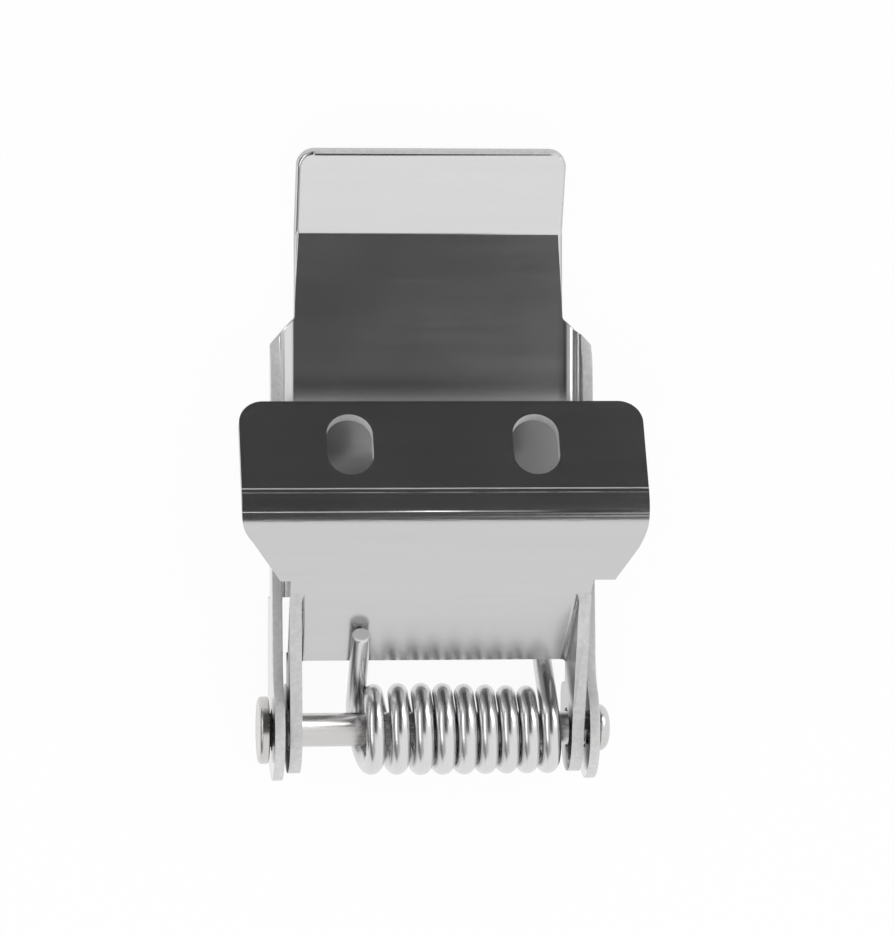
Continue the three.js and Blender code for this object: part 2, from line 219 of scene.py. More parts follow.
def sheared_group() -> bpy.types.NodeTree:
    """Builds the look of a sheared edge, read from the mesh's cut_face attribute.

    Returns:
        A group with the input Fineness and the outputs Mask, which is 1 on cut faces, and
        Height, the torn texture there.
    """
    wiring, given, made = new_group("sheared_edge", {"Fineness": 2600.0}, ["Mask", "Height"])
    mark = wiring.add("ShaderNodeAttribute", attribute_name="cut_face")
    place = wiring.add("ShaderNodeTexCoord").outputs["Object"]
    torn = wiring.add("ShaderNodeTexNoise", {"Vector": place, "Scale": given["Fineness"],
                                             "Detail": 5.0, "Roughness": 0.65})
    wiring.tree.links.new(mark.outputs["Fac"], made["Mask"])
    wiring.tree.links.new(wiring.math("MULTIPLY", torn.outputs[0], mark.outputs["Fac"]),
                          made["Height"])
    return wiring.tree


def handling_group() -> bpy.types.NodeTree:
    """Builds faint smudges and sparse hairline scratches from handling and tumbling.

    Returns:
        A group with the input Scale and the outputs Smudge and Scratch, both 0 to 1.
    """
    wiring, given, made = new_group("handling_marks", {"Scale": 120.0}, ["Smudge", "Scratch"])
    place = wiring.add("ShaderNodeTexCoord").outputs["Object"]
    cloud = wiring.add("ShaderNodeTexNoise", {"Vector": place, "Scale": given["Scale"],
                                              "Detail": 3.0, "Roughness": 0.45})
    wiring.tree.links.new(wiring.ramp(cloud.outputs[0], 0.35, 0.75, 0.0, 1.0), made["Smudge"])
    turned = wiring.add("ShaderNodeMapping", {"Vector": place, "Rotation": (0.0, 0.0, 0.7),
                                              "Scale": (1.0, 0.03, 1.0)})
    fineness = wiring.math("MULTIPLY", given["Scale"], 60.0)
    lines = wiring.add("ShaderNodeTexNoise", {"Vector": turned.outputs[0], "Scale": fineness,
                                              "Detail": 1.0})
    wiring.tree.links.new(wiring.ramp(lines.outputs[0], 0.7, 0.78, 0.0, 1.0), made["Scratch"])
    return wiring.tree


@dataclass(frozen=True)
class ToolLine:
    """A thin bright line that the tool left along the bend.

    Fields are how far it lies before the bend's end on the flange and half its width, both
    in millimetres, and its strength, where 1 is the strongest.
    """

    inset: float
    half_width: float
    strength: float


TOOL_LINES = (ToolLine(-0.28, 0.06, 1.0), ToolLine(0.1, 0.05, 0.3))
BEND_TIGHTENING = -0.66
WEB_SPRINGBACK = -0.073
WEB_EDGE_RUN = 10.5
WEB_EDGE_CURL = 0.014


def bend_group() -> bpy.types.NodeTree:
    """Builds the marks that the press left along the flange's bend.

    It reads two attributes of the mesh: fold_run, the distance along the sheet in
    millimetres from the bend's start on the web, and fold_front, 1 on the sheet's front.

    Returns:
        A group with the input Length, the bend's length along the sheet in millimetres, and
        three outputs. Line is 1 on the thin bright tool lines of the front. Drag is the
        streaks along the bend, 0 to 1 and one half off it. Form is a height in millimetres:
        the bend is tighter near the web than a round one, the web springs back a little,
        and it curls slightly towards its lower edge.
    """
    wiring, given, made = new_group("bend_marks", {"Length": 3.53}, ["Line", "Drag", "Form"])
    run = wiring.add("ShaderNodeAttribute", attribute_name="fold_run").outputs["Fac"]
    tighter = wiring.add("ShaderNodeMapRange",
                         {0: run, 1: -0.2, 2: 3.0, 3: 0.0, 4: BEND_TIGHTENING},
                         interpolation_type="SMOOTHSTEP").outputs[0]
    on_web = wiring.math("MINIMUM", run, 0.0)
    form = wiring.math("MULTIPLY_ADD", on_web, WEB_SPRINGBACK, tighter)
    near_edge = wiring.math("MINIMUM", wiring.math("ADD", run, WEB_EDGE_RUN), 0.0)
    form = wiring.math("MULTIPLY_ADD", wiring.math("MULTIPLY", near_edge, near_edge),
                       WEB_EDGE_CURL, form)
    wiring.tree.links.new(form, made["Form"])
    place = wiring.add("ShaderNodeTexCoord").outputs["Object"]
    across = wiring.add("ShaderNodeSeparateXYZ", {0: place}).outputs[0]
    spot = wiring.add("ShaderNodeCombineXYZ", {0: wiring.math("MULTIPLY", across, 300.0),
                                               1: wiring.math("MULTIPLY", run, 5.0)})
    streak = wiring.add("ShaderNodeTexNoise", {"Vector": spot.outputs[0], "Scale": 1.0,
                                               "Detail": 4.0, "Roughness": 0.6}).outputs[0]
    lines = 0.0
    for mark in TOOL_LINES:
        past = wiring.math("ADD", wiring.math("SUBTRACT", run, given["Length"]), mark.inset)
        line = wiring.ramp(wiring.math("ABSOLUTE", past), 0.3 * mark.half_width,
                           mark.half_width, mark.strength, 0.0)
        lines = wiring.math("MAXIMUM", line, lines)
    front = wiring.add("ShaderNodeAttribute", attribute_name="fold_front").outputs["Fac"]
    broken = wiring.math("MULTIPLY", wiring.ramp(streak, 0.3, 0.55, 0.35, 1.0), front)
    wiring.tree.links.new(wiring.math("MULTIPLY", lines, broken), made["Line"])
    into = wiring.ramp(run, -0.1, 0.5, 0.0, 1.0)
    left = wiring.ramp(wiring.math("SUBTRACT", given["Length"], run), -0.05, 0.1, 0.0, 1.0)
    inside = wiring.math("MULTIPLY", into, left)
    swing = wiring.math("SUBTRACT", streak, 0.5)
    wiring.tree.links.new(wiring.math("MULTIPLY_ADD", swing, inside, 0.5), made["Drag"])
    return wiring.tree


# ---- finishes ----


@dataclass(frozen=True)
class SheetFinish:
    """Bright plated sheet steel with rolling grain and sheared edges.

    Fields are the colour of the face and of the cut edge, their roughness, how strongly the
    grain shows in tone and roughness, the depth of grain, tear, scratches and bend streaks
    in millimetres, how matte the torn edge is and how dark its hollows are, and how much
    rougher marks and tool lines are than the face.
    """

    name: str
    slot: Slot
    face: tuple[float, float, float]
    edge: tuple[float, float, float]
    face_roughness: float
    edge_roughness: float
    grain_tone: float = 0.03
    grain_roughness: float = 0.02
    grain_depth: float = 0.0002
    tear_depth: float = 0.012
    scratch_depth: float = 0.0001
    drag_depth: float = 0.0
    edge_matte: float = 0.65
    torn_tone: float = 0.82
    mark_roughness: float = 0.02
    line_roughness: float = 0.4

    def material(self, groups: dict[str, bpy.types.NodeTree]) -> bpy.types.Material:
        """Builds the material.

        Args:
            groups: the shared shader groups by name.

        Returns:
            The new material.
        """
        made, wiring, shader = metal(self.name)
        grain = wiring.add("ShaderNodeGroup", node_tree=groups["grain"])
        sheared = wiring.add("ShaderNodeGroup", node_tree=groups["sheared"])
        marks = wiring.add("ShaderNodeGroup", node_tree=groups["handling"])
        tone = wiring.ramp(grain.outputs["Tone"], 0.0, 1.0, 1.0 - self.grain_tone, 1.0)
        face = wiring.mix(tone, BLACK, (*self.face, 1.0))
        torn = wiring.ramp(sheared.outputs["Height"], 0.3, 0.7, self.torn_tone, 1.0)
        edge = wiring.mix(torn, BLACK, (*self.edge, 1.0))
        colour = wiring.mix(sheared.outputs["Mask"], face, edge)
        wiring.tree.links.new(colour, shader.inputs["Base Color"])
        rough = wiring.math("MULTIPLY_ADD", grain.outputs["Tone"], self.grain_roughness,
                            self.face_roughness)
        for mark in ("Smudge", "Scratch"):
            rough = wiring.math("MULTIPLY_ADD", marks.outputs[mark], self.mark_roughness, rough)
        if self.drag_depth:
            bend = wiring.add("ShaderNodeGroup", node_tree=groups["bend"])
            rough = wiring.math("MULTIPLY_ADD", bend.outputs["Line"], self.line_roughness, rough)
        gap = wiring.math("SUBTRACT", self.edge_roughness, rough)
        rough = wiring.math("MULTIPLY_ADD", gap, sheared.outputs["Mask"], rough)
        wiring.tree.links.new(rough, shader.inputs["Roughness"])
        relief = wiring.math("MULTIPLY", grain.outputs["Height"], self.grain_depth)
        relief = wiring.math("MULTIPLY_ADD", sheared.outputs["Height"], self.tear_depth, relief)
        relief = wiring.math("MULTIPLY_ADD", marks.outputs["Scratch"], -self.scratch_depth,
                             relief)
        if self.drag_depth:
            relief = wiring.math("MULTIPLY_ADD", bend.outputs["Drag"], self.drag_depth, relief)
            relief = wiring.math("MULTIPLY_ADD", bend.outputs["Line"], 2.0 * self.drag_depth,
                                 relief)
            relief = wiring.math("ADD", relief, bend.outputs["Form"])
        matte = wiring.math("MULTIPLY_ADD", sheared.outputs["Mask"], -self.edge_matte, 1.0)
        wiring.tree.links.new(matte, shader.inputs["Metallic"])
        wiring.tree.links.new(bump(wiring, relief), shader.inputs["Normal"])
        return made


@dataclass(frozen=True)
class WireFinish:
    """Polished drawn wire with faint lines along it.

    Fields are its colour, roughness, the depth of the drawing lines and of scratches in
    millimetres, and how much rougher and how matte the sawn ends are.
    """

    name: str
    slot: Slot
    colour: tuple[float, float, float]
    roughness: float
    line_depth: float = 0.001
    scratch_depth: float = 0.0006
    sawn_roughness: float = 0.35
    sawn_matte: float = 0.7

    def material(self, groups: dict[str, bpy.types.NodeTree]) -> bpy.types.Material:
        """Builds the material from the wire's along and around attributes.

        Args:
            groups: the shared shader groups by name.

        Returns:
            The new material.
        """
        made, wiring, shader = metal(self.name)
        along = wiring.add("ShaderNodeAttribute", attribute_name="along").outputs["Fac"]
        around = wiring.add("ShaderNodeAttribute", attribute_name="around").outputs["Fac"]
        turn = wiring.math("MULTIPLY", around, 2 * math.pi)
        spot = wiring.add("ShaderNodeCombineXYZ", {
            0: wiring.math("MULTIPLY", along, 60.0),
            1: wiring.math("MULTIPLY", wiring.math("SINE", turn), 9.0),
            2: wiring.math("MULTIPLY", wiring.math("COSINE", turn), 9.0)})
        lines = wiring.add("ShaderNodeTexNoise", {"Vector": spot.outputs[0], "Scale": 1.0,
                                                  "Detail": 4.0, "Roughness": 0.6})
        marks = wiring.add("ShaderNodeGroup", node_tree=groups["handling"])
        tone = wiring.ramp(lines.outputs[0], 0.3, 0.7, 0.93, 1.0)
        colour = wiring.mix(tone, BLACK, (*self.colour, 1.0))
        wiring.tree.links.new(colour, shader.inputs["Base Color"])
        rough = wiring.math("MULTIPLY_ADD", marks.outputs["Smudge"], 0.03, self.roughness)
        rough = wiring.math("MULTIPLY_ADD", lines.outputs[0], 0.04, rough)
        from_middle = wiring.math("ABSOLUTE", wiring.math("SUBTRACT", along, 0.5))
        sawn = wiring.ramp(from_middle, 0.4993, 0.4998, 0.0, 1.0)
        rough = wiring.math("MULTIPLY_ADD", sawn, self.sawn_roughness, rough)
        wiring.tree.links.new(rough, shader.inputs["Roughness"])
        matte = wiring.math("MULTIPLY_ADD", sawn, -self.sawn_matte, 1.0)
        wiring.tree.links.new(matte, shader.inputs["Metallic"])
        relief = wiring.math("MULTIPLY", lines.outputs[0], self.line_depth)
        relief = wiring.math("MULTIPLY_ADD", marks.outputs["Scratch"], -self.scratch_depth,
                             relief)
        wiring.tree.links.new(bump(wiring, relief), shader.inputs["Normal"])
        return made


@dataclass(frozen=True)
class TurnedFinish:
    """Plain rivet steel with fine rings round the axis.

    Fields are its colour, roughness, the rings' fineness and their depth in millimetres.
    """

    name: str
    slot: Slot
    colour: tuple[float, float, float]
    roughness: float
    fineness: float = 4500.0
    ring_depth: float = 0.0008

    def material(self, groups: dict[str, bpy.types.NodeTree]) -> bpy.types.Material:
        """Builds the material.

        Args:
            groups: the shared shader groups by name.

        Returns:
            The new material.
        """
        made, wiring, shader = metal(self.name)
        grain = wiring.add("ShaderNodeGroup", {"Fineness": self.fineness, "Length": 0.03},
                           node_tree=groups["grain"])
        marks = wiring.add("ShaderNodeGroup", node_tree=groups["handling"])
        tone = wiring.ramp(grain.outputs["Tone"], 0.0, 1.0, 0.88, 1.0)
        colour = wiring.mix(tone, BLACK, (*self.colour, 1.0))
        wiring.tree.links.new(colour, shader.inputs["Base Color"])
        rough = wiring.math("MULTIPLY_ADD", grain.outputs["Tone"], 0.08, self.roughness)
        rough = wiring.math("MULTIPLY_ADD", marks.outputs["Smudge"], 0.08, rough)
        wiring.tree.links.new(rough, shader.inputs["Roughness"])
        relief = wiring.math("MULTIPLY", grain.outputs["Height"], self.ring_depth)
        wiring.tree.links.new(bump(wiring, relief), shader.inputs["Normal"])
        return made


def metal(name: str) -> tuple[bpy.types.Material, Wiring, bpy.types.Node]:
    """Starts a metal's material.

    Args:
        name: the material's name.

    Returns:
        The material, its wiring and its shader node.
    """
    made = bpy.data.materials.new(name)
    made.use_nodes = True
    made.node_tree.nodes.clear()
    wiring = Wiring(made.node_tree)
    shader = wiring.add("ShaderNodeBsdfPrincipled", {"Metallic": 1.0})
    wiring.add("ShaderNodeOutputMaterial", {"Surface": shader.outputs[0]})
    return made, wiring, shader


def bump(wiring: Wiring, relief: bpy.types.NodeSocket) -> bpy.types.NodeSocket:
    """Turns a height in millimetres into a normal.

    Args:
        wiring: the material's wiring.
        relief: the height's socket.

    Returns:
        The normal's socket.
    """
    inputs = {"Strength": 1.0, "Distance": MILLIMETRE, "Height": relief}
    return wiring.add("ShaderNodeBump", inputs).outputs[0]


# ---- meshes ----


def mesh_object(name: str, built: bmesh.types.BMesh) -> bpy.types.Object:
    """Makes a piece out of a built mesh, which is freed.

    Args:
        name: the piece's name.
        built: the mesh, in place.

    Returns:
        The piece, smooth shaded.
    """
    mesh = bpy.data.meshes.new(name)
    built.to_mesh(mesh)
    built.free()
    mesh.shade_smooth()
    piece = bpy.data.objects.new(name, mesh)
    bpy.context.scene.collection.objects.link(piece)
    return piece


def merged_copy(node: str) -> bmesh.types.BMesh:
    """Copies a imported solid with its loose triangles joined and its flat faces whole.

    Args:
        node: the solid's name.

    Returns:
        The copy.
    """
    copy = bmesh.new()
    copy.from_mesh(frame["nodes"][node].data)
    bmesh.ops.remove_doubles(copy, verts=copy.verts, dist=0.001 * MILLIMETRE)
    bmesh.ops.dissolve_limit(copy, angle_limit=math.radians(0.4), verts=copy.verts,
                             edges=copy.edges)
    bmesh.ops.recalc_face_normals(copy, faces=copy.faces)
    return copy


def mark_cut_faces(sheet: bmesh.types.BMesh, thickness: float) -> None:
    """Marks the faces that shearing made: those with no parallel face one thickness behind.

    Args:
        sheet: the stamping.
        thickness: of its sheet, in millimetres.
    """
    layer = sheet.faces.layers.float.new("cut_face")
    tree = BVHTree.FromBMesh(sheet)
    for face in sheet.faces:
        start = face.calc_center_median_weighted() - face.normal * 0.01 * MILLIMETRE
        _, normal, _, distance = tree.ray_cast(start, -face.normal, 4 * thickness * MILLIMETRE)
        through = normal is not None and distance < 1.15 * thickness * MILLIMETRE
        face[layer] = 0.0 if through and normal.dot(face.normal) < -0.9 else 1.0


def weigh_edges(sheet: bmesh.types.BMesh, rolled: Callable[[Vector], bool], fine: float,
                room: float) -> None:
    """Sets how wide each sharp edge of a stamping is rounded, as a share of the widest.

    Args:
        sheet: the stamping.
        rolled: tells from an edge's middle whether the punch rolled it over.
        fine: the share for the other sharp edges.
        room: length in millimetres, and beside a shorter edge those others stay sharp.
    """
    layer = sheet.edges.layers.float.new("bevel_weight_edge")
    for edge in sheet.edges:
        if len(edge.link_faces) == 2 and edge.calc_face_angle() > SHEARED_ANGLE:
            middle = (edge.verts[0].co + edge.verts[1].co) / 2
            shortest = min(other.calc_length() for end in edge.verts for other in end.link_edges)
            if rolled(middle):
                edge[layer] = 1.0
            elif shortest > room * MILLIMETRE:
                edge[layer] = fine
            else:
                edge.smooth = False


def soften(piece: bpy.types.Object, width: float, clamped: bool, segments: int = 3) -> None:
    """Rounds the weighed edges of a stamping and keeps its flats flat in the light.

    Args:
        piece: the stamping.
        width: of the widest rounding, in millimetres.
        clamped: whether short edges narrow all roundings.
        segments: faces across it.
    """
    broken = piece.modifiers.new("broken_edges", "BEVEL")
    broken.width = width * MILLIMETRE
    broken.segments = segments
    broken.limit_method = "WEIGHT"
    broken.use_clamp_overlap = clamped
    flats = piece.modifiers.new("flat_faces", "WEIGHTED_NORMAL")
    flats.keep_sharp = True
    flats.weight = 80


def smooth_step(value: float, low: float, high: float) -> float:
    """Rises smoothly from 0 at low to 1 at high."""
    share = min(max((value - low) / (high - low), 0.0), 1.0)
    return share * share * (3 - 2 * share)


# ---- pieces ----


@dataclass
class Bracket:
    """The mounting bracket: flange with two slots, leaning web with wings, and two ears.

    Leans are degrees; heights up the web and places across are measured from the pivot.
    """

    finish: SheetFinish
    sheet: float = 1.0
    web_lean: float = 42.2
    ear_end: float = 13.45
    web_front: float = 3.957
    web_end: float = 21.08
    flange_lean: float = 30.0
    bend_radius: float = 2.8
    bend_inner: float = 10.2
    ear_outer: float = 12.25
    left_splay: float = 0.25
    right_splay: float = 0.55
    splay_start: float = 7.0
    splay_bend: float = 0.6
    rolled_edge: float = 0.22
    fine_share: float = 0.4
    edge_room: float = 0.1

    def up_web(self, point: Vector) -> float:
        """Distance of a point up the web from the pivot.

        Args:
            point: on the stamping.

        Returns:
            The distance in millimetres.
        """
        lean = math.radians(self.web_lean)
        place = (point - PIVOT) / MILLIMETRE
        return place.y * math.cos(lean) + place.z * math.sin(lean)

    def splay(self, sheet: bmesh.types.BMesh) -> None:
        """Spreads the tops of the ears, as bending left them.

        Args:
            sheet: the stamping.
        """
        for vertex in sheet.verts:
            across = abs(vertex.co.x) / MILLIMETRE
            height = self.up_web(vertex.co)
            if across > self.ear_outer or height > self.ear_end + 0.01:
                continue
            most = self.right_splay if vertex.co.x > 0 else self.left_splay
            share = smooth_step(across, self.bend_inner, self.bend_inner + self.splay_bend)
            share *= smooth_step(height, self.splay_start, self.ear_end)
            vertex.co.x += math.copysign(most * share * MILLIMETRE, vertex.co.x)

    def fold_run(self, point: Vector) -> float:
        """Distance along the sheet from the start of the flange's bend on the web.

        Args:
            point: on the stamping.

        Returns:
            The distance in millimetres, below 0 on the web and past the bend's length on
            the flange.
        """
        lean = math.radians(self.web_lean)
        turn = math.radians(self.web_lean + self.flange_lean)
        setback = self.bend_radius * math.tan(turn / 2)
        place = (point - PIVOT) / MILLIMETRE
        depth = place.y * math.sin(lean) - place.z * math.cos(lean)
        beyond = self.up_web(point) - (self.web_end - setback)
        if beyond <= 0:
            return beyond
        inward = depth - self.web_front - self.bend_radius
        angle = math.atan2(beyond, -inward)
        if angle <= turn:
            return self.bend_radius * angle
        out = beyond * math.cos(turn) + inward * math.sin(turn)
        return self.bend_radius * turn + out

    def mark_fold(self, sheet: bmesh.types.BMesh) -> None:
        """Stores each point's distance along the folded sheet, and whether it is in front.

        Args:
            sheet: the stamping.
        """
        run = sheet.verts.layers.float.new("fold_run")
        front = sheet.verts.layers.float.new("fold_front")
        for vertex in sheet.verts:
            vertex[run] = self.fold_run(vertex.co)
            outward = sum((face.normal for face in vertex.link_faces
                           if face.calc_area() > MILLIMETRE ** 2), Vector())
            vertex[front] = 1.0 if outward.z > 0.1 else 0.0

    def build(self) -> bpy.types.Object:
        """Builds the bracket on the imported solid's shape.

        Returns:
            The piece.
        """
        sheet = merged_copy("mounting_bracket")
        mark_cut_faces(sheet, self.sheet)
        self.mark_fold(sheet)
        self.splay(sheet)
        weigh_edges(sheet, self.rolled, self.fine_share, self.edge_room)
        piece = mesh_object("bracket_stamping", sheet)
        soften(piece, self.rolled_edge, clamped=True)
        return piece

    def rolled(self, middle: Vector) -> bool:
        """Whether the punch rolled an edge over: those of the ears' outlines."""
        return self.up_web(middle) < self.splay_start

    def dress(self, piece: bpy.types.Object, groups: dict[str, bpy.types.NodeTree]) -> None:
        """Gives the bracket its finish and its place in the frame.

        Args:
            piece: the built bracket.
            groups: the shared shader groups by name.
        """
        piece.data.materials.append(self.finish.material(groups))
        place(piece, Body.BRACKET, self.finish.slot, "mounting_bracket")


@dataclass
class ClampArm:
    """The clamp arm: ears, channel, shoulders, strip and lip.

    Places are measured from the pivot, and the lip's rise is its height over its length.
    """

    finish: SheetFinish
    sheet: float = 0.85
    depth: float = 3.05
    shoulder: float = 34.4
    lip_corner: float = 41.45
    lip_rise: float = 0.445
    rolled_edge: float = 0.4
    fine_share: float = 0.22
    edge_room: float = 0.1

    def build(self) -> bpy.types.Object:
        """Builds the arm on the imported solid's shape.

        Returns:
            The piece.
        """
        sheet = merged_copy("clamp_arm")
        mark_cut_faces(sheet, self.sheet)
        weigh_edges(sheet, self.rolled, self.fine_share, self.edge_room)
        piece = mesh_object("arm_stamping", sheet)
        soften(piece, self.rolled_edge, clamped=False)
        return piece

    def rolled(self, middle: Vector) -> bool:
        """Whether the punch rolled an edge over: those of the strip's and the lip's front.

        Args:
            middle: of the edge.

        Returns:
            True on the front of the strip and the lip.
        """
        spot = (middle - PIVOT) / MILLIMETRE
        risen = max(spot.y - self.lip_corner, 0.0) * self.lip_rise
        return spot.y > self.shoulder and spot.z > risen - self.depth - 0.5 * self.sheet

    def dress(self, piece: bpy.types.Object, groups: dict[str, bpy.types.NodeTree]) -> None:
        """Gives the arm its finish and its place in the frame.

        Args:
            piece: the built arm.
            groups: the shared shader groups by name.
        """
        piece.data.materials.append(self.finish.material(groups))
        place(piece, Body.ARM, self.finish.slot, "clamp_arm")


@dataclass
class Rivet:
    """The pivot rivet: factory head on the left, shank, and peened button on the right.

    The breaks are how far an edge is taken off across the clip and in radius, and the dish
    is how deep the head's face is at the axis and halfway out.
    """

    finish: TurnedFinish
    shank_radius: float = 1.4
    head_inner: float = 13.8
    head_radius: float = 2.8
    head_height: float = 0.85
    head_rim: float = 0.32
    head_dish: tuple[float, float] = (0.1, 0.04)
    head_break: tuple[float, float] = (0.08, 0.1)
    shank_break: tuple[float, float] = (0.06, 0.05)
    peen_break: tuple[float, float] = (0.1, 0.14)
    peen_radius: float = 1.95
    peen_height: float = 1.0
    peen_crown: float = 0.62
    round_steps: int = 96
    rim_steps: int = 6

    def corner(self, radius: float, face: float, rim: float, start: float) -> list[tuple]:
        """Points of a rounded rim in the rivet's profile.

        Args:
            radius: of the head.
            face: place across of the rim's centre.
            rim: its rounding radius.
            start: angle of the first point from the axis, in degrees; the last is 90 on.

        Returns:
            Places across and radii.
        """
        turns = [math.radians(start + 90 * step / self.rim_steps)
                 for step in range(self.rim_steps + 1)]
        return [(face - rim * math.cos(turn), radius - rim + rim * math.sin(turn))
                for turn in turns]

    def profile(self) -> list[tuple[float, float]]:
        """Profile from the left end on the axis to the right end on the axis.

        Returns:
            Places across and radii, in millimetres.
        """
        inner = self.head_inner
        left = -inner - self.head_height
        middle_dish, half_dish = self.head_dish
        head_in, head_down = self.head_break
        shank_in, shank_up = self.shank_break
        peen_out, peen_down = self.peen_break
        points = [(left + middle_dish, 0.0), (left + half_dish, 0.5 * self.head_radius)]
        points += self.corner(self.head_radius, left + self.head_rim, self.head_rim, 0)
        points += [(-inner - head_in, self.head_radius),
                   (-inner, self.head_radius - head_down),
                   (-inner, self.shank_radius + shank_up),
                   (-inner + shank_in, self.shank_radius),
                   (inner - shank_in, self.shank_radius),
                   (inner, self.shank_radius + shank_up),
                   (inner, self.peen_radius - peen_down),
                   (inner + peen_out, self.peen_radius)]
        steps = 4 * self.rim_steps
        for step in range(1, steps + 1):
            turn = math.pi / 2 * step / steps
            radius = self.peen_radius * math.cos(turn) ** self.peen_crown
            across = inner + peen_out + (self.peen_height - peen_out) * math.sin(turn)
            points.append((across, radius if step < steps else 0.0))
        return points

    def build(self) -> bpy.types.Object:
        """Turns the profile round the pivot axis.

        Returns:
            The piece.
        """
        turned = bmesh.new()
        rings = []
        for across, radius in self.profile():
            count = self.round_steps if radius > 0 else 1
            ring = []
            for step in range(count):
                turn = 2 * math.pi * step / self.round_steps
                offset = Vector((across, radius * math.cos(turn), radius * math.sin(turn)))
                ring.append(turned.verts.new(PIVOT + offset * MILLIMETRE))
            rings.append(ring)
        for inner, outer in zip(rings, rings[1:]):
            for step in range(self.round_steps):
                following = (step + 1) % self.round_steps
                corners = [inner[step % len(inner)], inner[following % len(inner)],
                           outer[following % len(outer)], outer[step % len(outer)]]
                turned.faces.new(list(dict.fromkeys(corners)))
        bmesh.ops.recalc_face_normals(turned, faces=turned.faces)
        piece = mesh_object("rivet_turning", turned)
        sharp_by_angle(piece, 50)
        return piece

    def dress(self, piece: bpy.types.Object, groups: dict[str, bpy.types.NodeTree]) -> None:
        """Gives the rivet its finish and its place in the frame.

        Args:
            piece: the built rivet.
            groups: the shared shader groups by name.
        """
        piece.data.materials.append(self.finish.material(groups))
        place(piece, Body.BRACKET, self.finish.slot, "pivot_rivet")


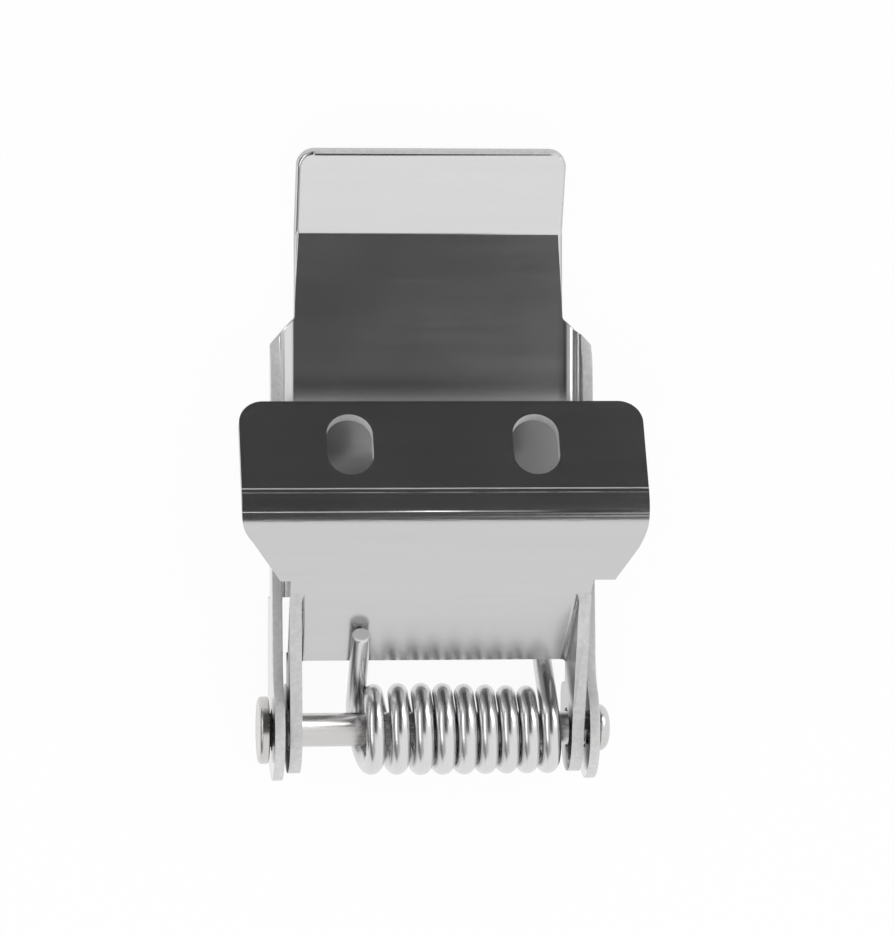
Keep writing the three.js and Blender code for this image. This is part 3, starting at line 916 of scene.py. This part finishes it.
@dataclass
class TorsionSpring:
    """The torsion spring: close curls on the rivet, and a straight leg at each end.

    Angles are degrees round the rivet. The curls hang straight down by the slant, stand wider
    apart at the left by opened and closer at the right by closed, sink by lowered, and are
    thicker in the middle by swell, a share of the wire's radius. Each of these sets in over
    the stretch of turns named after it.
    """

    finish: WireFinish
    wire_radius: float = 0.8
    coil_radius: float = 2.985
    pitch: float = 1.795
    slant: float = 0.45
    opened: float = 0.62
    closed: float = 0.18
    lowered: float = 0.12
    swell: float = 0.07
    slant_turns: tuple[float, float] = (0.0, 0.5)
    opened_turns: tuple[float, float] = (-0.6, 3.0)
    closed_turns: tuple[float, float] = (5.5, 8.75)
    lowered_turns: tuple[float, float] = (2.5, 8.75)
    swell_turns: tuple[float, float] = (1.0, 2.0)
    slimmed_turns: tuple[float, float] = (3.5, 7.0)
    left_place: float = -6.35
    left_angle: float = 137.8
    right_angle: float = 50.0
    curls: int = 9
    left_leg: float = 8.25
    right_leg: float = 7.25
    end_chamfer: float = 0.16
    end_share: float = 0.84
    steps: int = 1260
    sides: int = 28

    @property
    def sweep(self) -> float:
        """Angle that the coil turns through, in radians."""
        return math.radians(self.right_angle + 360 * self.curls - self.left_angle)

    def tree(self) -> bpy.types.NodeTree:
        """Builds the node tree that winds a wire.

        Returns:
            A geometry node tree with the wire's sizes as inputs, in metres and radians.
        """
        tree = bpy.data.node_groups.new("wind_wire", "GeometryNodeTree")
        for label, kind in self.sockets().items():
            tree.interface.new_socket(label, in_out="INPUT", socket_type=kind)
        tree.interface.new_socket("Geometry", in_out="OUTPUT", socket_type="NodeSocketGeometry")
        wiring = Wiring(tree)
        given = wiring.add("NodeGroupInput").outputs
        last = wiring.math("SUBTRACT", given["Steps"], 1.0)
        index = wiring.add("GeometryNodeInputIndex").outputs[0]
        share = wiring.math("DIVIDE", index, last)
        coil = wiring.math("MULTIPLY", given["Coil Radius"], given["Sweep"])
        legs = wiring.math("ADD", given["Left Leg"], given["Right Leg"])
        length = wiring.math("ADD", coil, legs)
        run = wiring.math("MULTIPLY", share, length)
        past_leg = wiring.math("SUBTRACT", run, given["Left Leg"])
        on_coil = wiring.math("MINIMUM", wiring.math("MAXIMUM", past_leg, 0.0), coil)
        off_coil = wiring.math("SUBTRACT", past_leg, on_coil)
        turned = wiring.math("DIVIDE", on_coil, given["Coil Radius"])
        angle = wiring.math("ADD", turned, given["Start Angle"])
        sine = wiring.math("SINE", angle)
        cosine = wiring.math("COSINE", angle)
        turns = wiring.math("DIVIDE", turned, 2 * math.pi)
        across = wiring.math("MULTIPLY_ADD", turns, given["Pitch"], given["Left Place"])
        opened = self.eased(wiring, turns, self.opened_turns)
        closed = self.eased(wiring, turns, self.closed_turns)
        across = wiring.math("MULTIPLY_ADD", opened, given["Opened"], across)
        across = wiring.math("MULTIPLY_ADD", closed, given["Closed"], across)
        settled = wiring.math("MULTIPLY", sine, wiring.ramp(turns, *self.slant_turns, 0.0, 1.0))
        across = wiring.math("MULTIPLY_ADD", settled, given["Slant"], across)
        sunk = self.eased(wiring, turns, self.lowered_turns)
        lower = wiring.math("MULTIPLY", sunk, given["Lowered"])
        radius = wiring.math("ADD", given["Coil Radius"], lower)
        up = wiring.math("MULTIPLY_ADD", sine, radius, lower)
        up = wiring.math("ADD", up, wiring.math("MULTIPLY", cosine, off_coil))
        out = wiring.math("SUBTRACT", wiring.math("MULTIPLY", cosine, radius),
                          wiring.math("MULTIPLY", sine, off_coil))
        spot = wiring.add("ShaderNodeCombineXYZ", {0: across, 1: up, 2: out}).outputs[0]
        place_on_axis = wiring.add("ShaderNodeVectorMath", {0: spot, 1: given["Pivot"]},
                                   operation="ADD").outputs[0]
        line = wiring.add("GeometryNodeMeshLine", {"Count": given["Steps"]}).outputs[0]
        line = wiring.add("GeometryNodeSetPosition", {"Geometry": line,
                                                      "Position": place_on_axis}).outputs[0]
        line = self.store(wiring, line, "along", share)
        curve = wiring.add("GeometryNodeMeshToCurve", {"Mesh": line}).outputs[0]
        end = wiring.math("MINIMUM", run, wiring.math("SUBTRACT", length, run))
        chamfer = wiring.ramp(end, 0.0, given["End Chamfer"], self.end_share, 1.0)
        full = wiring.math("SUBTRACT", wiring.ramp(turns, *self.swell_turns, 0.0, 1.0),
                           self.eased(wiring, turns, self.slimmed_turns))
        thickness = wiring.math("MULTIPLY_ADD", full, given["Swell"], chamfer)
        section = wiring.add("GeometryNodeCurvePrimitiveCircle", {
            "Resolution": given["Sides"], "Radius": given["Wire Radius"]}).outputs[0]
        step = wiring.math("DIVIDE", index, given["Sides"])
        section = self.store(wiring, section, "around", step)
        tube = wiring.add("GeometryNodeCurveToMesh", {
            "Curve": curve, "Profile Curve": section, "Scale": thickness,
            "Fill Caps": True}).outputs[0]
        shaded = wiring.add("GeometryNodeSetShadeSmooth", {"Geometry": tube}).outputs[0]
        whole = wiring.add("GeometryNodeRealizeInstances", {"Geometry": shaded}).outputs[0]
        dressed = wiring.add("GeometryNodeSetMaterial", {
            "Geometry": whole, "Material": given["Material"]}).outputs[0]
        wiring.add("NodeGroupOutput", {"Geometry": dressed})
        return tree

    def eased(self, wiring: Wiring, turns: bpy.types.NodeSocket,
              stretch: tuple[float, float]) -> bpy.types.NodeSocket:
        """Rises smoothly from 0 to 1 along the coil.

        Args:
            wiring: the tree's wiring.
            turns: how many turns the wire has made.
            stretch: the turns at which it starts to rise and reaches 1.

        Returns:
            The risen share's socket.
        """
        inputs = {0: turns, 1: stretch[0], 2: stretch[1]}
        return wiring.add("ShaderNodeMapRange", inputs,
                          interpolation_type="SMOOTHSTEP").outputs[0]

    def store(self, wiring: Wiring, geometry: bpy.types.NodeSocket, name: str,
              value: bpy.types.NodeSocket) -> bpy.types.NodeSocket:
        """Stores a number on each point.

        Args:
            wiring: the tree's wiring.
            geometry: what carries it.
            name: of the attribute.
            value: the number.

        Returns:
            The geometry with the attribute.
        """
        inputs = {"Geometry": geometry, "Name": name, "Value": value}
        kind = "GeometryNodeStoreNamedAttribute"
        return wiring.add(kind, inputs, data_type="FLOAT", domain="POINT").outputs[0]

    def sockets(self) -> dict[str, str]:
        """Names the tree's inputs.

        Returns:
            The kind of socket of each input.
        """
        numbers = ["Wire Radius", "Coil Radius", "Pitch", "Slant", "Opened", "Closed", "Lowered",
                   "Swell", "Left Place", "Left Leg", "Right Leg", "End Chamfer", "Start Angle",
                   "Sweep"]
        kinds = {label: "NodeSocketFloat" for label in numbers}
        kinds.update({"Steps": "NodeSocketInt", "Sides": "NodeSocketInt",
                      "Pivot": "NodeSocketVector", "Material": "NodeSocketMaterial"})
        return kinds

    def build(self, material: bpy.types.Material) -> bpy.types.Object:
        """Winds the spring and keeps it as a plain mesh.

        Args:
            material: what the wire is made of.

        Returns:
            The piece.
        """
        carrier = bpy.data.objects.new("spring_carrier", bpy.data.meshes.new("spring_carrier"))
        bpy.context.scene.collection.objects.link(carrier)
        winding = carrier.modifiers.new("winding", "NODES")
        winding.node_group = self.tree()
        values = {
            "Wire Radius": self.wire_radius * MILLIMETRE,
            "Coil Radius": self.coil_radius * MILLIMETRE,
            "Pitch": self.pitch * MILLIMETRE,
            "Slant": -self.slant * MILLIMETRE,
            "Opened": self.opened * MILLIMETRE,
            "Closed": -self.closed * MILLIMETRE,
            "Lowered": -self.lowered * MILLIMETRE,
            "Swell": self.swell,
            "Left Place": self.left_place * MILLIMETRE,
            "Left Leg": self.left_leg * MILLIMETRE,
            "Right Leg": self.right_leg * MILLIMETRE,
            "End Chamfer": self.end_chamfer * MILLIMETRE,
            "Start Angle": math.radians(self.left_angle),
            "Sweep": self.sweep,
            "Steps": self.steps,
            "Sides": self.sides,
            "Pivot": tuple(PIVOT),
            "Material": material,
        }
        for item in winding.node_group.interface.items_tree:
            if item.in_out == "INPUT":
                winding[item.identifier] = values[item.name]
        ready = bpy.context.evaluated_depsgraph_get()
        mesh = bpy.data.meshes.new_from_object(carrier.evaluated_get(ready), depsgraph=ready)
        carrier.modifiers.clear()
        bpy.data.objects.remove(carrier)
        mesh.name = "spring_wire_tube"
        piece = bpy.data.objects.new("spring_wire_tube", mesh)
        bpy.context.scene.collection.objects.link(piece)
        sharp_by_angle(piece, 40)
        return piece

    def dress(self, piece: bpy.types.Object) -> None:
        """Hides the imported spring and bakes the wound spring's transform into its mesh.

        Args:
            piece: the built spring.
        """
        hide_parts("torsion_spring")
        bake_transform(piece)


def sharp_by_angle(piece: bpy.types.Object, limit: float) -> None:
    """Marks edges sharper than an angle, so that the light breaks there.

    Args:
        piece: a smooth shaded piece.
        limit: the angle in degrees.
    """
    edged = bmesh.new()
    edged.from_mesh(piece.data)
    for edge in edged.edges:
        if len(edge.link_faces) == 2 and edge.calc_face_angle() > math.radians(limit):
            edge.smooth = False
    edged.to_mesh(piece.data)
    edged.free()


def place(piece: bpy.types.Object, body: Body, slot: Slot, node: str) -> None:
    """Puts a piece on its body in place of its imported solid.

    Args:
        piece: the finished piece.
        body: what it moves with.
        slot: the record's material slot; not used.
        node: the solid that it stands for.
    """
    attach(piece, body.value)
    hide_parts(node)


# ---- studio ----


@dataclass
class Camera:
    """The photograph's camera: turned and tipped a little, far away, with a long lens.

    Angles are degrees and lengths millimetres; the aim point is measured from the pivot.
    """

    yaw: float = 6.33
    pitch: float = 1.20
    roll: float = 0.02
    distance: float = 417.0
    aim: Vector = field(default_factory=lambda: Vector((0, 22, 0)))
    slide: Vector = field(default_factory=lambda: Vector((-1.17, 0.26, 0)))
    focal_pixels: float = 5008.0
    frame_height: float = 936.0
    sensor: float = 36.0

    def build(self) -> bpy.types.Object:
        """Makes the camera and puts it in the scene.

        Returns:
            The camera's object.
        """
        turn = (Matrix.Rotation(math.radians(self.roll), 3, "Z")
                @ Matrix.Rotation(math.radians(self.pitch), 3, "X")
                @ Matrix.Rotation(math.radians(self.yaw), 3, "Y"))
        towards = turn.transposed()
        away = towards @ (Vector((0, 0, self.distance)) - self.slide) + self.aim
        data = bpy.data.cameras.new("camera")
        data.lens = self.focal_pixels * self.sensor / self.frame_height
        data.sensor_width = self.sensor
        camera = bpy.data.objects.new("camera", data)
        camera.matrix_world = Matrix.Translation(PIVOT + away * MILLIMETRE) @ towards.to_4x4()
        bpy.context.scene.collection.objects.link(camera)
        bpy.context.scene.camera = camera
        return camera


@dataclass(frozen=True)
class Lamp:
    """A soft rectangular lamp that faces the clip.

    Fields are its name, its centre and its width and height in metres, its brightness as
    seen directly, where 1 is white, whether metal shows it, and whether it lights matte
    surfaces.
    """

    name: str
    centre: Vector
    size: tuple[float, float]
    level: float
    mirrored: bool = True
    lit: bool = True

    def build(self) -> None:
        """Hangs the lamp."""
        data = bpy.data.lights.new(self.name, "AREA")
        data.shape = "RECTANGLE"
        data.size, data.size_y = self.size
        data.energy = self.level * math.pi * self.size[0] * self.size[1]
        lamp = bpy.data.objects.new(self.name, data)
        turn = (-self.centre).to_track_quat("-Z", "Y")
        lamp.matrix_world = Matrix.Translation(self.centre) @ turn.to_matrix().to_4x4()
        lamp.visible_glossy = self.mirrored
        lamp.visible_diffuse = self.lit
        bpy.context.scene.collection.objects.link(lamp)


LAMPS = (Lamp("soft_lamp_low", Vector((0.0, -0.75, 0.45)), (1.1, 0.8), 1.0, mirrored=False),
         Lamp("soft_lamp_right", Vector((0.41, 0.3, 0.33)), (0.36, 0.26), 4.0, lit=False),
         Lamp("soft_lamp_left", Vector((-0.53, 0.055, 0.38)), (0.85, 0.15), 2.4, lit=False))


@dataclass
class Studio:
    """Pale floor, white surroundings, soft lamps, and dark cards that the metal mirrors.

    Lengths and places are metres. The cards above and behind share one level, the leaning
    side card has its own, and so has the low one beside the clip.
    """

    floor_size: float = 6.0
    floor_colour: tuple[float, float, float] = (0.92, 0.92, 0.92)
    floor_white: float = 0.94
    surround_level: float = 0.85
    card_level: float = 0.04
    side_level: float = 0.5
    card_top: float = 0.8
    card_reach: float = 1.6
    card_sill: float = 0.43
    above_left: float = -0.3
    above_right: float = 0.22
    above_near: tuple[float, float] = (-0.14, -0.11)
    above_far: float = 0.35
    low_place: float = -0.06
    low_near: float = -0.15
    low_far: float = 0.1
    low_top: float = 0.035
    low_level: float = 0.15

    def white_share(self, wiring: Wiring, most: float) -> bpy.types.NodeSocket:
        """Share of plain white that the camera, metal and glass see.

        Args:
            wiring: of the floor's or the world's tree.
            most: the share for those rays.

        Returns:
            The share's socket, 0 for all other rays.
        """
        path = wiring.add("ShaderNodeLightPath").outputs
        seen = wiring.math("MAXIMUM", path["Is Camera Ray"], path["Is Glossy Ray"])
        seen = wiring.math("MAXIMUM", seen, path["Is Transmission Ray"])
        return wiring.math("MULTIPLY", seen, most)

    def floor(self) -> bpy.types.Object:
        """Makes the floor, which keeps a faint shadow.

        Returns:
            The floor.
        """
        half = self.floor_size / 2
        piece = self.sheet("floor", [(-half, -half, 0), (half, -half, 0), (half, half, 0),
                                     (-half, half, 0)])
        made = bpy.data.materials.new("pale_floor")
        made.use_nodes = True
        made.node_tree.nodes.clear()
        wiring = Wiring(made.node_tree)
        matte = wiring.add("ShaderNodeBsdfDiffuse", {"Color": (*self.floor_colour, 1.0)})
        white = wiring.add("ShaderNodeEmission", {"Strength": 1.0})
        share = self.white_share(wiring, self.floor_white)
        both = wiring.add("ShaderNodeMixShader", {0: share, 1: matte.outputs[0],
                                                  2: white.outputs[0]})
        wiring.add("ShaderNodeOutputMaterial", {"Surface": both.outputs[0]})
        piece.data.materials.append(made)
        return piece

    def sheet(self, name: str, corners: list[tuple[float, float, float]]) -> bpy.types.Object:
        """Makes a flat sheet that is part of the studio.

        Args:
            name: of the sheet.
            corners: its four corners, in metres.

        Returns:
            The sheet.
        """
        mesh = bpy.data.meshes.new(name)
        mesh.from_pydata(corners, [], [(0, 1, 2, 3)])
        piece = bpy.data.objects.new(name, mesh)
        bpy.context.scene.collection.objects.link(piece)
        return piece

    def card(self, name: str, corners: list[tuple[float, float, float]], level: float) -> None:
        """Hangs a dark card that only mirrored rays meet, so that it casts no shadow.

        Args:
            name: of the card.
            corners: its four corners, in metres.
            level: how light it looks in a mirror.
        """
        piece = self.sheet(name, corners)
        piece.visible_camera = False
        piece.visible_diffuse = False
        piece.visible_shadow = False
        piece.visible_transmission = False
        made = bpy.data.materials.new(name)
        made.use_nodes = True
        made.node_tree.nodes.clear()
        wiring = Wiring(made.node_tree)
        dim = wiring.add("ShaderNodeEmission", {"Color": (level, level, level, 1.0),
                                                "Strength": 1.0})
        wiring.add("ShaderNodeOutputMaterial", {"Surface": dim.outputs[0]})
        piece.data.materials.append(made)

    def surroundings(self) -> None:
        """Makes the world: white where it shows, and a plain soft level as light."""
        world = bpy.data.worlds.new("surroundings")
        world.use_nodes = True
        world.node_tree.nodes.clear()
        wiring = Wiring(world.node_tree)
        share = self.white_share(wiring, 1.0 - self.surround_level)
        level = wiring.math("ADD", share, self.surround_level)
        glow = wiring.add("ShaderNodeBackground", {"Color": WHITE, "Strength": level})
        wiring.add("ShaderNodeOutputWorld", {"Surface": glow.outputs[0]})
        bpy.context.scene.world = world

    def build(self) -> None:
        """Sets the studio up."""
        self.floor()
        self.surroundings()
        top, reach, sill = self.card_top, self.card_reach, self.card_sill
        left, right, far = self.above_left, self.above_right, self.above_far
        near_left, near_right = self.above_near
        self.card("card_above", [(left, near_left, top), (right, near_right, top),
                                 (right, far, top), (left, far, top)], self.card_level)
        self.card("card_beyond", [(-reach, far, top), (reach, far, top), (reach, reach, top),
                                  (-reach, reach, top)], self.card_level)
        self.card("card_behind", [(-reach, reach, sill), (reach, reach, sill),
                                  (reach, reach, top), (-reach, reach, top)], self.card_level)
        self.card("card_left", [(-reach, -reach, 0.0), (-reach, reach, 0.0),
                                (left, reach, top), (left, -reach, top)], self.side_level)
        low, near, end, crest = self.low_place, self.low_near, self.low_far, self.low_top
        self.card("card_low", [(low, near, 0.0), (low, end, 0.0), (low, end, crest),
                               (low, near, crest)], self.low_level)
        for lamp in LAMPS:
            lamp.build()


def main() -> None:
    """Builds the clip and its studio."""
    logging.basicConfig(level=logging.INFO, format="%(name)s: %(message)s")
    bpy.context.scene.view_settings.view_transform = "Standard"
    Camera().build()
    Studio().build()
    groups = {"grain": grain_group(), "sheared": sheared_group(), "handling": handling_group(),
              "bend": bend_group()}
    bracket = Bracket(SheetFinish("bracket_bright_steel", Slot.BRACKET, (0.60, 0.60, 0.60),
                                  (0.68, 0.68, 0.68), 0.2, 0.6, drag_depth=0.01))
    arm = ClampArm(SheetFinish("arm_bright_steel", Slot.ARM, (0.70, 0.70, 0.70),
                               (0.68, 0.68, 0.68), 0.18, 0.6))
    rivet = Rivet(TurnedFinish("rivet_turned_steel", Slot.RIVET, (0.66, 0.65, 0.64), 0.2))
    spring = TorsionSpring(WireFinish("spring_polished_wire", Slot.SPRING,
                                      (0.72, 0.72, 0.725), 0.23))
    for part in (bracket, arm, rivet):
        piece = part.build()
        part.dress(piece, groups)
        log.info("%s built with %d faces", piece.name, len(piece.data.polygons))
    coil = spring.build(spring.finish.material(groups))
    spring.dress(coil)
    log.info("%s wound with %d faces", coil.name, len(coil.data.polygons))


if __name__ == "__main__":
    main()
